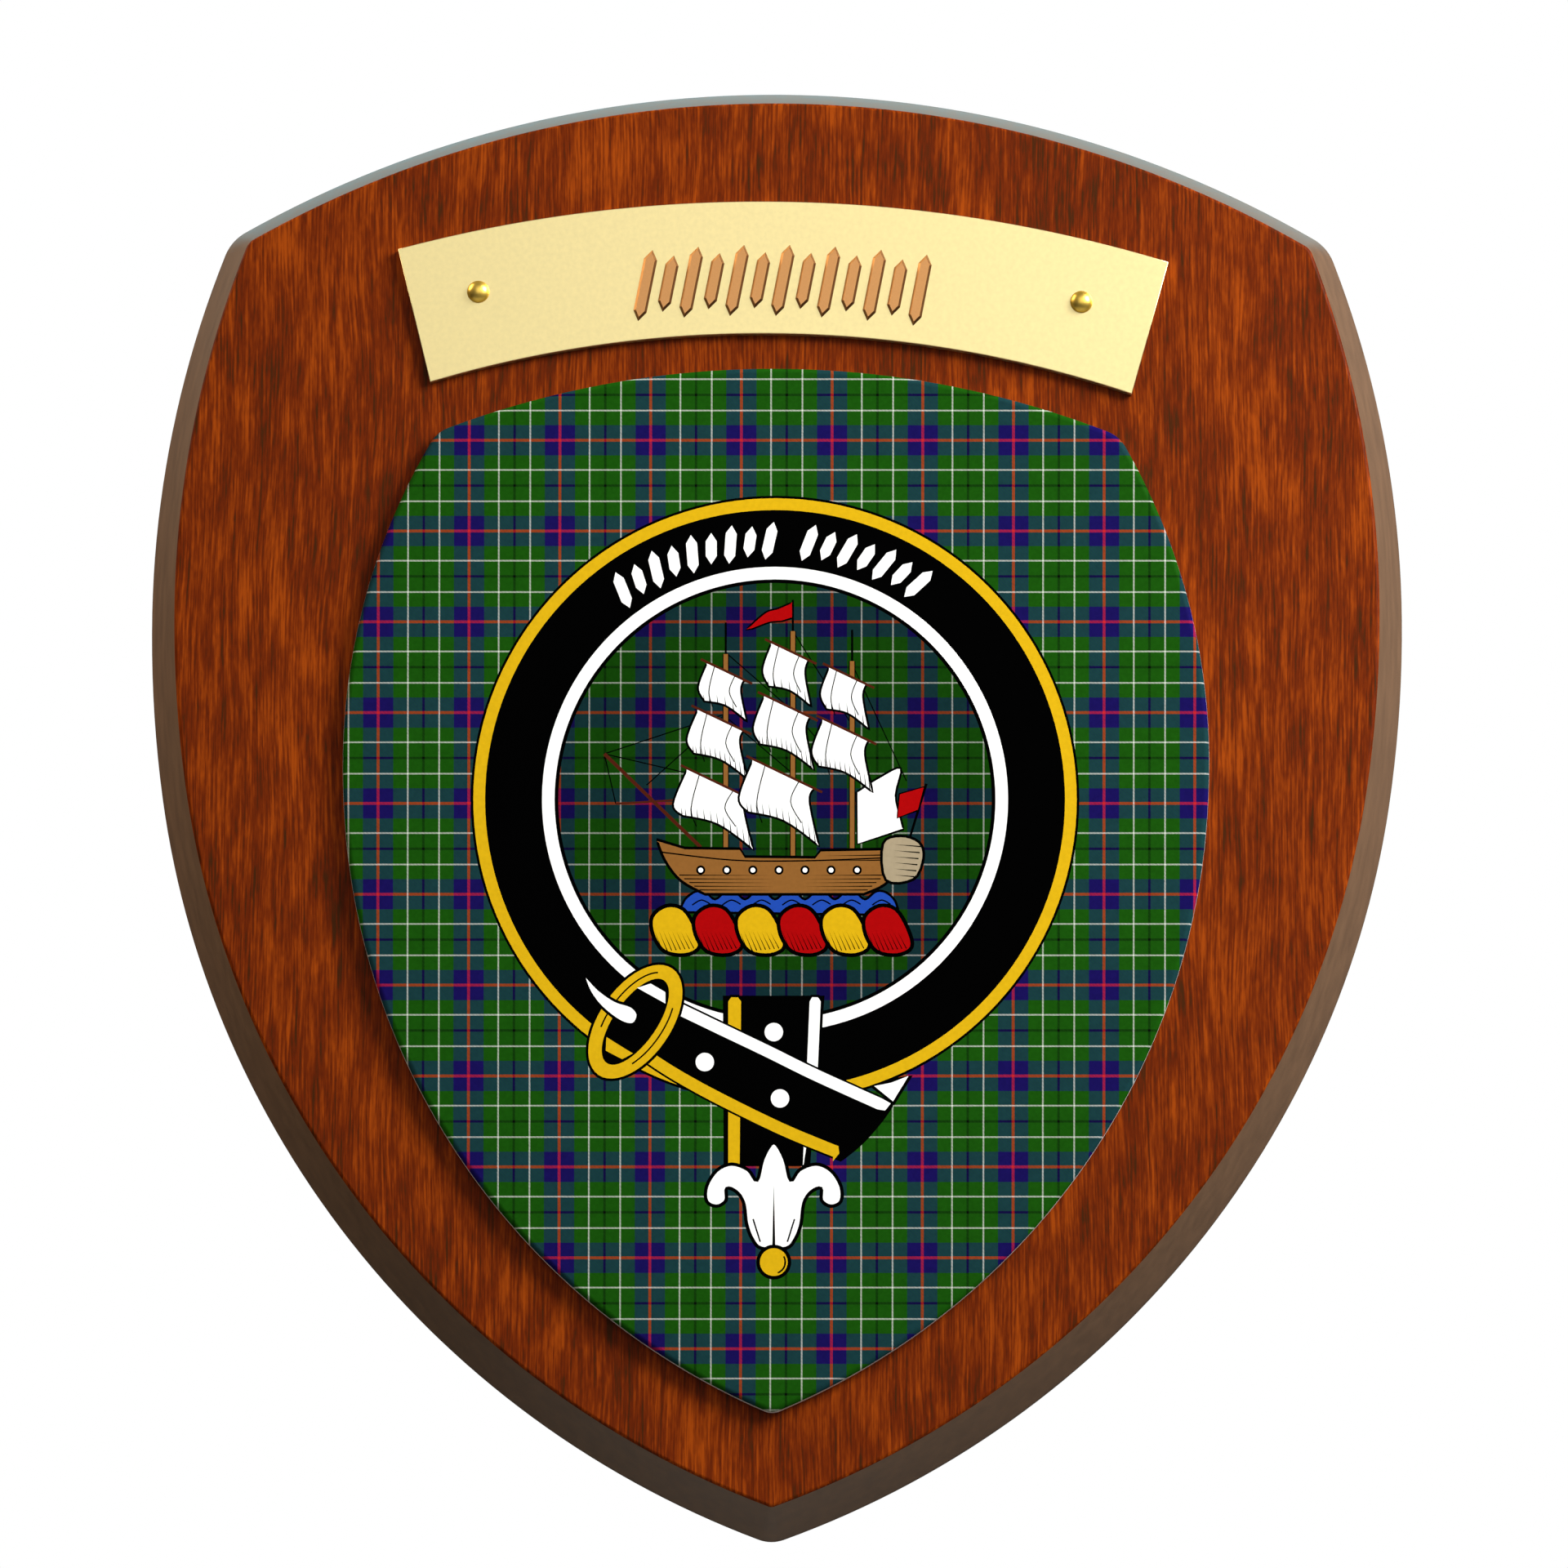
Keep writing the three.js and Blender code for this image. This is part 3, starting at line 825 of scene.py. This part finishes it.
def draw_wreath(badge):
    """Six twists of gold and red."""
    pitch = 5.95
    for i in range(6):
        x = -14.1 + i * pitch
        twist = [
            (x - 3.1, -16.4), (x - 1.1, -14.9), (x + 1.3, -15.4), (x + 3.0, -18.2),
            (x + 3.5, -20.7), (x + 1.5, -21.8), (x - 1.4, -21.3), (x - 3.0, -18.9)]
        badge.outlined(smooth_line(twist, True, 4), "gold" if i % 2 == 0 else "red")
        for k in range(8):
            foot = Vector((x - 1.6 + k * 0.62, -21.3 + 0.06 * k))
            badge.spike(foot, foot + Vector((-1.2, 3.0 - 0.1 * k)), 0.15)


def draw_sea(badge):
    """A low sea with rounded crests."""
    crests = []
    for i in range(7):
        x = -12.6 + i * 4.2
        crests += [(x, -14.0), (x + 1.5, -12.9), (x + 2.9, -13.0)]
    sea = smooth_line([(-13.4, -15.8), *crests, (16.8, -14.2), (17.4, -16.2)], False, 4)
    badge.outlined(sea, "blue", 0.35)
    for i in range(7):
        x = -11.6 + i * 4.2
        badge.line(smooth_line([(x, -14.8), (x + 1.3, -14.1), (x + 2.6, -14.7)]), 0.2)


def draw_hull(badge):
    """A plain planked hull with round ports and a pale stern gallery."""
    hull = smooth_line([(-16.6, -5.6), (-15.4, -8.6), (-13.2, -11.4), (-9.8, -13.3)], False, 4)
    hull += smooth_line([(12.4, -13.3), (15.4, -11.9), (17.4, -9.4), (18.2, -6.9)], False, 4)
    hull += [(6.4, -7.1), (5.6, -8.1), (-4.2, -8.0), (-4.9, -6.9), (-12.6, -6.8)]
    badge.outlined(hull, "brown", 0.4)
    gallery = smooth_line([
        (15.1, -6.2), (17.6, -5.1), (20.2, -6.0), (20.8, -8.2), (19.4, -11.2), (15.5, -11.3)], True, 4)
    badge.outlined(gallery, "tan", 0.4)
    for k in range(6):
        height = -6.6 - 0.85 * k
        badge.spike((20.4 - 0.15 * k, height), (16.6, height + 0.3), 0.2)
    for k in range(5):
        height = -10.6 - 0.52 * k
        badge.spike((-13.4 + 0.7 * k, height), (0.0, height - 0.05), 0.16)
        badge.spike((15.4 - 0.6 * k, height), (4.0, height - 0.05), 0.16)
    for height in (-7.8, -8.5):
        badge.spike((14.8, height), (6.8, height - 0.1), 0.18)
    badge.line(smooth_line([(-15.8, -7.4), (-6.0, -8.5), (4.0, -8.6), (15.0, -8.2)]), 0.2)
    for k in range(7):
        badge.outlined(disc((-10.4 + 3.65 * k, -9.9), 0.5, 16), "white", 0.3)


def draw_sail(badge, x, top, bottom, half_top, half_bottom, belly):
    """A square sail that fills forwards, with two seams and pen shading along its foot."""
    tilt = 0.48
    head = [(x - half_top, top + tilt * half_top), (x + half_top, top - tilt * half_top)]
    foot = [(x + half_bottom, bottom - tilt * half_bottom), (x - half_bottom, bottom + tilt * half_bottom)]
    middle = (top + bottom) / 2
    right = smooth_line([head[1], (x + half_top - 0.5 * belly, middle), foot[0]], False, 6)
    base = smooth_line([foot[0], (x, bottom + 0.9 * belly), foot[1]], False, 6)
    left = smooth_line([foot[1], (x - half_bottom - belly, middle + 0.6), head[0]], False, 6)
    badge.outlined([*right, *base[1:], *left[1:]], "white", 0.32)
    for share in (-0.3, 0.25):
        seam = [(x + 2 * share * half_top, top - 2 * tilt * share * half_top),
                (x + 2 * share * half_top - 0.9 * belly, middle),
                (x + 2 * share * half_bottom, bottom + 0.7 * belly)]
        badge.line(smooth_line(seam), 0.15)
    count = round(4 * half_bottom)
    for k in range(count):
        root = base[round((k + 0.5) * (len(base) - 1) / count)]
        reach = (top - bottom) * (0.34 - 0.16 * k / count)
        badge.spike(root, root + Vector((-0.12 * reach, reach)), 0.17)
    yard = [Vector(head[0]) + Vector((-0.9, 0.9 * tilt)), Vector(head[1]) + Vector((1.1, -1.1 * tilt))]
    badge.line(yard, 0.34, "umber")


def draw_rigging(badge):
    """Masts, bowsprit and the lines that stay them."""
    for start, end in (
            ((-23.9, 6.4), (-6.9, 12.0)), ((-23.9, 6.4), (-11.0, 3.4)), ((-22.3, -0.6), (-23.9, 6.4)),
            ((-18.0, 2.0), (-6.9, 12.0)), ((-6.9, 20.6), (2.5, 12.4)), ((2.5, 23.6), (10.8, 10.4)),
            ((10.8, 19.0), (18.4, 2.6)), ((-6.9, 11.6), (2.5, 3.6)), ((2.5, 12.4), (10.8, 2.8))):
        badge.line([start, end], 0.16)
    for x, top in ((-6.9, 20.4), (2.5, 23.6), (10.8, 19.4)):
        badge.line([(x, -8.0), (x, top)], 0.75, "brown")
        badge.line([(x - 0.38, -8.0), (x - 0.38, top)], 0.14)
        badge.line([(x + 0.38, -8.0), (x + 0.38, top)], 0.14)
        badge.line([(x, top), (x, top + 4.4)], 0.3)
    badge.line([(-10.4, -6.7), (-23.9, 6.4)], 0.5, "umber")
    badge.line([(-22.3, -0.6), (-12.6, 0.0)], 0.28, "umber")


def draw_pennants(badge):
    """A streamer on the main mast and a flag at the stern."""
    streamer = smooth_line([(2.5, 27.7), (0.4, 26.8), (-1.4, 26.2), (-4.1, 23.8)], False, 4)
    under = smooth_line([(-3.2, 23.9), (-0.8, 24.8), (1.0, 25.0), (2.5, 25.5)], False, 4)
    badge.outlined(streamer + under, "red", 0.25)
    badge.line([(18.8, -5.6), (21.2, 2.2)], 0.35)
    badge.outlined([(20.9, 1.8), (17.4, 0.8), (17.1, -2.6), (20.1, -1.5)], "red", 0.25)


def draw_ship(badge):
    """A plain three-masted ship under square sails."""
    draw_rigging(badge)
    spanker = smooth_line([
        (11.4, 1.0), (14.4, 3.0), (17.6, 4.4), (16.9, 0.6), (17.6, -2.6), (18.0, -4.2)], False, 4)
    badge.outlined([*spanker, (11.5, -6.3)], "white", 0.32)
    for places, shape in (
            (((10.2, 17.4, 11.2), (-6.9, 18.0, 12.3), (2.1, 20.8, 14.4)), (2.6, 3.0, 0.9)),
            (((9.9, 9.8, 2.8), (-7.6, 11.2, 4.6), (1.7, 13.1, 5.9)), (3.2, 3.8, 1.0)),
            (((-8.0, 2.3, -4.7), (1.2, 3.6, -4.2)), (4.3, 5.0, 1.3))):
        for place in places:
            draw_sail(badge, *place, *shape)
    draw_pennants(badge)
    draw_hull(badge)


def belt_badge():
    """The whole badge, drawn from the lowest shapes to the ones on top."""
    badge = Badge()
    for draw in (
            draw_belt_ring, draw_belt_strokes, draw_hanging_strap, draw_chape,
            draw_buckled_strap, draw_buckle, draw_sea, draw_ship, draw_wreath):
        draw(badge)
    return badge


# Operators

class PLAQUE_OT_board(Operator):
    """Makes the bevelled wooden board with its hanging slot"""
    bl_idname = "plaque.make_board"
    bl_label = "Make board"

    def execute(self, context):
        board = context.scene.plaque.board
        outer = shield_outline(
            board, 0, board.shoulder_radius + board.bevel_width, board.point_radius + board.bevel_width)
        face = shield_outline(board, board.bevel_width, board.shoulder_radius, board.point_radius)
        bm = bmesh.new()
        stacked(bm, [(outer, 0), (outer, board.edge_land), (face, board.thickness)])
        for height, segments in ((board.thickness, 4), (board.edge_land, 3), (0, 3)):
            round_edges(bm, rim_edges(bm, height), board.edge_round, segments)
        # The lacquered face, the stained bevel and sides, and the bare back
        for part in bm.faces:
            part.smooth = abs(part.normal.y) < FLAT
            part.material_index = 0 if part.normal.y < -0.5 else 1 if part.normal.y < FLAT else 2
        bm = cut_away(bm, self.cutters(board, context.scene.plaque.plate))
        add_object(
            "shield_board_wood", bm, [mahogany_face(board), stained_edge(board), bare_wood(board)],
            "shield_board")
        return {"FINISHED"}

    def cutters(self, board, plate):
        """Cutters for the hanging slot and the pins' pilot holes, marked as bare wood."""
        # A screw's head goes in at the entry and slides behind the lip, with its neck in the narrow slot
        lip, floor = 3.6 * MM, 4 * MM
        entry, neck = 9.5 * MM, 4.8 * MM
        depth = board.thickness - floor
        bottom = board.crown - board.slot_drop
        top = bottom + board.slot_run
        cutters = bmesh.new()
        cylinder(cutters, (0, bottom), entry / 2, -OVERCUT, depth)
        slot_cutter(cutters, neck, bottom, top, -OVERCUT, depth)
        slot_cutter(cutters, entry, bottom, top, lip, depth)
        pilot_floor = board.thickness + plate.thickness - plate.pin_length - plate.pin_clearance
        pin_holes(cutters, plate, pilot_floor, board.thickness + OVERCUT)
        for part in cutters.faces:
            part.material_index = 2
        return cutters


class PLAQUE_OT_panel(Operator):
    """Makes the thin metal shield with its flat print"""
    bl_idname = "plaque.make_panel"
    bl_label = "Make printed panel"

    def execute(self, context):
        panel = context.scene.plaque.panel
        back = context.scene.plaque.board.thickness
        outline = shield_outline(panel, 0, panel.shoulder_radius, panel.point_radius)
        bm = bmesh.new()
        stacked(bm, [(outline, back), (outline, back + panel.thickness)])
        round_edges(bm, rim_edges(bm, back + panel.thickness), panel.edge_round, 6)
        inks = {
            "coat": white_coat(),
            "tartan": printed_tartan(panel, "Tartan print on coated aluminium", 1.0),
            "dark tartan": printed_tartan(panel, "Darker tartan print within the belt", panel.inner_shade),
        }
        for name in ("black", "white", "gold", "red", "blue", "brown", "umber", "tan"):
            inks[name] = printed_ink(name.capitalize(), getattr(panel, f"{name}_ink"))
        numbers = {name: i for i, name in enumerate(inks)}
        # The print runs over the rounded edge and stops short of the side
        printed_slope = math.cos(math.radians(72))
        for part in bm.faces:
            part.smooth = abs(part.normal.y) < FLAT
            part.material_index = numbers["tartan" if -part.normal.y > printed_slope else "coat"]
        badge = belt_badge()
        parts = divide_face(bm, front_face(bm), [self.placed(panel, shape) for shape in badge.shapes])
        for ink, faces in zip(["tartan", *badge.inks], parts):
            for part in faces:
                part.smooth = False
                part.material_index = numbers[ink]
        add_object("printed_shield_panel", bm, inks.values(), "tartan_panel")
        return {"FINISHED"}

    def placed(self, panel, shape):
        """A shape of the badge on the plan, in metres and a little drawn out in height."""
        wide = panel.badge_radius / BELT_RADIUS
        tall = 1.0142 * wide
        centre = Vector((-0.11, -1.2)) * MM
        points = turned([(point.x * wide, point.y * tall) for point in shape], panel.print_turn, centre)
        return [point * (1 + panel.print_taper * point.y) for point in points]


def arched_outline(plate):
    """Plan of the name plate about its own middle: two arcs of the same rise with slanted ends."""
    points = []
    steps = 60
    half_height = plate.height / 2
    for chord, height, hand in ((plate.bottom_chord, -half_height, 1), (plate.top_chord, half_height, -1)):
        radius = arc_radius(chord / 2, plate.rise)
        half = math.degrees(math.asin(chord / 2 / radius))
        points += arc((0, height - radius), radius, 90 + hand * half, 90 - hand * half, steps)
    return points


def arch_drop(plate, x):
    """How far the plate's middle line has dropped at a distance from its top."""
    radius = arc_radius((plate.top_chord + plate.bottom_chord) / 4, plate.rise)
    return radius - math.sqrt(radius ** 2 - x ** 2)


class PLAQUE_OT_name_plate(Operator):
    """Makes the arched brass plate with its row of raised strokes"""
    bl_idname = "plaque.make_name_plate"
    bl_label = "Make name plate"

    def execute(self, context):
        plate = context.scene.plaque.plate
        back = context.scene.plaque.board.thickness
        tilt = math.atan2(PIN_LINE.y, PIN_LINE.x)
        pins_middle = (PIN_PLACES[0] + PIN_PLACES[1]) / 2
        pins_rise = plate.pin_above - arch_drop(plate, PIN_LINE.length / 2)
        middle = pins_middle - turned([(plate.pin_aside, pins_rise)], tilt)[0]
        outline = turned(arched_outline(plate), tilt, middle)
        bm = bmesh.new()
        stacked(bm, [(outline, back), (outline, back + plate.thickness)])
        round_edges(bm, rim_edges(bm, back + plate.thickness), plate.edge_round, 3)
        for part in bm.faces:
            part.smooth = abs(part.normal.y) < FLAT
        strokes = []
        for i in range(plate.strokes):
            x = (i - (plate.strokes - 1) / 2) * plate.stroke_pitch
            height = plate.stroke_tall if i % 2 == 0 else plate.stroke_short
            stroke = stroke_outline(plate.stroke_width, height, plate.stroke_slant)
            place = (x, -plate.stroke_drop - arch_drop(plate, x))
            strokes.append(turned(turned(stroke, 0, place), tilt, middle))
        parts = divide_face(bm, front_face(bm), strokes)
        for faces in parts[1:]:
            merged = bmesh.ops.dissolve_faces(bm, faces=faces)["region"]
            bmesh.ops.inset_individual(
                bm, faces=merged, thickness=plate.stroke_side, depth=plate.stroke_rise, use_even_offset=True)
        # The strokes' right and lower sides take a darker copper, picked by which way each side faces: this
        # is painted shade, not a finish of the metal
        raised = 0.01 * MM
        front = -(back + plate.thickness)
        for part in bm.faces:
            if part.calc_center_median().y < front - raised:
                shaded = part.normal.x > 0.2 or part.normal.z < -0.4
                part.material_index = 2 if shaded else 1
        holes = bmesh.new()
        pin_holes(holes, plate, back - OVERCUT, back + plate.thickness + OVERCUT)
        bm = cut_away(bm, holes)
        brass = metal("Satin brass, rolled sheet", plate.brass, (0.36, 0.46), 0.7)
        copper = metal("Copper, satin cast", plate.copper, (0.4, 0.5), 0.3)
        # The third material is painted shade for the strokes' right and lower sides
        shading = metal("Copper, darkened edge", plate.shading, (0.5, 0.6), 0.3)
        add_object("name_plate_brass", bm, [brass, copper, shading], "name_plate")
        return {"FINISHED"}


class PLAQUE_OT_pins(Operator):
    """Makes the two domed brass pins"""
    bl_idname = "plaque.make_pins"
    bl_label = "Make pins"

    def execute(self, context):
        plate = context.scene.plaque.plate
        head_radius = plate.pin_head / 2
        shank = plate.pin_shank / 2
        plate_face = PLATE_FRONT - plate.pin_head_height
        tip = plate_face - plate.pin_length
        brass = metal("Polished brass, turned", plate.pin_brass, (0.34, 0.4), 0.5)
        for hand, place in zip(("left", "right"), PIN_PLACES):
            bm = bmesh.new()
            dome = arc((0, 0), 1, 0, 90, 10)
            profile = [(turn.x * head_radius, plate_face + turn.y * plate.pin_head_height) for turn in dome]
            profile[-1] = (0, profile[-1][1])
            profile = [(0, tip), (shank, tip + plate.pin_point), (shank, plate_face), *profile]
            corners = [bm.verts.new((place.x + across, -out, place.y)) for across, out in profile]
            edges = [bm.edges.new(pair) for pair in zip(corners, corners[1:])]
            bmesh.ops.spin(
                bm, geom=corners + edges, cent=(place.x, 0, place.y), axis=(0, 1, 0),
                angle=2 * math.pi, steps=48, use_merge=True)
            bmesh.ops.remove_doubles(bm, verts=bm.verts, dist=1e-6)
            bmesh.ops.recalc_face_normals(bm, faces=bm.faces)
            for part in bm.faces:
                part.smooth = part.normal.y < FLAT
            add_object(f"pin_{hand}_brass", bm, [brass], f"plate_pin_{hand}")
        return {"FINISHED"}


class PLAQUE_OT_stage(Operator):
    """Makes the camera, the lights and the floor"""
    bl_idname = "plaque.make_stage"
    bl_label = "Make camera and light"

    def execute(self, context):
        scene = context.scene
        stage = scene.plaque.stage
        scene.view_settings.view_transform = "Standard"
        self.add_camera(scene, stage)
        self.add_room(scene, stage)
        white, cool, warm = (1, 1, 1), (0.3, 0.85, 1.0), (1, 0.84, 0.64)
        # Each softbox has its place and its size in metres, its power and its tint
        for name, place, size, power, tint in (
                ("key", (0.58, -0.42, 0.42), 0.38, stage.key, white),
                ("front_fill", (0.15, -1.7, 0.5), 1.3, stage.fill, white),
                ("left_kicker", (-0.75, 0.0, 0.62), 0.5, stage.kicker, warm),
                ("top", (0, 0.85, 0.6), 0.8, stage.top, cool)):
            self.add_softbox(name, Vector(place), size, power, tint)
        return {"FINISHED"}

    def add_camera(self, scene, stage):
        """The camera: straight in front, a little below the plaque's middle and looking up at it."""
        target = FACE_MIDDLE + Vector((1.135 * MM, 0, 1.4 * MM))
        back = Vector((0, -math.cos(stage.camera_drop), -math.sin(stage.camera_drop)))
        lens = bpy.data.cameras.new("camera")
        lens.sensor_width = 36
        lens.lens = lens.sensor_width / 2 / math.tan(stage.field / 2)
        camera = bpy.data.objects.new("camera", lens)
        camera.location = target + back * stage.camera_distance
        camera.rotation_mode = "QUATERNION"
        roll = Quaternion((0, 0, 1), stage.camera_roll)
        camera.rotation_quaternion = (-back).to_track_quat("-Z", "Y") @ roll
        scene.collection.objects.link(camera)
        scene.camera = camera

    def add_room(self, scene, stage):
        """A plain pale floor, and light from all round that is brighter from the upper right. Past the plaque
        the camera sees white."""
        world = bpy.data.worlds.new("room")
        world.use_nodes = True
        scene.world = world
        tree = world.node_tree
        tree.nodes.clear()
        bright_way = (0.6, -0.2, 0.77)
        sky = add_node(tree, "TexCoord")
        side = add_node(tree, "VectorMath", {"operation": "DOT_PRODUCT"}, {
            0: sky.outputs["Generated"], 1: bright_way})
        glow = add_node(tree, "MapRange", {}, {
            "Value": side.outputs["Value"], "From Min": -1.0, "From Max": 1.0,
            "To Min": stage.room_dim, "To Max": stage.room_bright})
        light = add_node(tree, "Background", {}, {
            "Color": (1, 1, 1, 1), "Strength": glow.outputs["Result"]})
        seen = add_node(tree, "Background", {}, {"Color": (1, 1, 1, 1), "Strength": 1.0})
        path = add_node(tree, "LightPath")
        both = add_node(tree, "MixShader", {}, {
            0: path.outputs["Is Camera Ray"], 1: light.outputs[0], 2: seen.outputs[0]})
        add_node(tree, "OutputWorld", {}, {"Surface": both.outputs[0]})
        bm = bmesh.new()
        bmesh.ops.create_grid(bm, x_segments=1, y_segments=1, size=stage.floor_size / 2)
        bmesh.ops.translate(bm, verts=bm.verts, vec=(0, 0, -stage.floor_drop))
        mesh = bpy.data.meshes.new("floor")
        bm.to_mesh(mesh)
        bm.free()
        paint = start_material("Pale floor paint", Roughness=0.8, Base_Color=(*linear("#F2F0EC"), 1))[0]
        mesh.materials.append(paint)
        floor = bpy.data.objects.new("floor", mesh)
        scene.collection.objects.link(floor)

    def add_softbox(self, name, place, size, power, tint):
        """A square soft light turned towards the plaque."""
        light = bpy.data.lights.new(name, "AREA")
        light.shape = "SQUARE"
        light.size = size
        light.energy = power
        light.color = tint
        lamp = bpy.data.objects.new(name, light)
        lamp.location = place
        lamp.rotation_mode = "QUATERNION"
        lamp.rotation_quaternion = (FACE_MIDDLE - place).to_track_quat("-Z", "Y")
        lamp.visible_camera = False
        bpy.context.scene.collection.objects.link(lamp)


class PLAQUE_PT_sidebar(Panel):
    """Lists the plaque's pieces and their settings"""
    bl_label = "Shield plaque"
    bl_idname = "PLAQUE_PT_sidebar"
    bl_space_type = "VIEW_3D"
    bl_region_type = "UI"
    bl_category = "Plaque"

    def draw(self, context):
        settings = context.scene.plaque
        groups = (
            (settings.board, (PLAQUE_OT_board,)),
            (settings.panel, (PLAQUE_OT_panel,)),
            (settings.plate, (PLAQUE_OT_name_plate, PLAQUE_OT_pins)),
            (settings.stage, (PLAQUE_OT_stage,)),
        )
        for group, operators in groups:
            box = self.layout.box()
            for operator in operators:
                box.operator(operator.bl_idname)
            for name in group.__annotations__:
                box.prop(group, name)


CLASSES = (
    PlaqueBoard, PlaquePanel, PlaquePlate, PlaqueStage, PlaqueSettings,
    PLAQUE_OT_board, PLAQUE_OT_panel, PLAQUE_OT_name_plate, PLAQUE_OT_pins, PLAQUE_OT_stage,
    PLAQUE_PT_sidebar,
)


def register():
    for item in CLASSES:
        bpy.utils.register_class(item)
    bpy.types.Scene.plaque = PointerProperty(type=PlaqueSettings)


def unregister():
    del bpy.types.Scene.plaque
    for item in reversed(CLASSES):
        bpy.utils.unregister_class(item)


def main():
    register()
    bpy.ops.plaque.make_stage()
    bpy.ops.plaque.make_board()
    bpy.ops.plaque.make_panel()
    bpy.ops.plaque.make_name_plate()
    bpy.ops.plaque.make_pins()


if __name__ == "__main__":
    main()
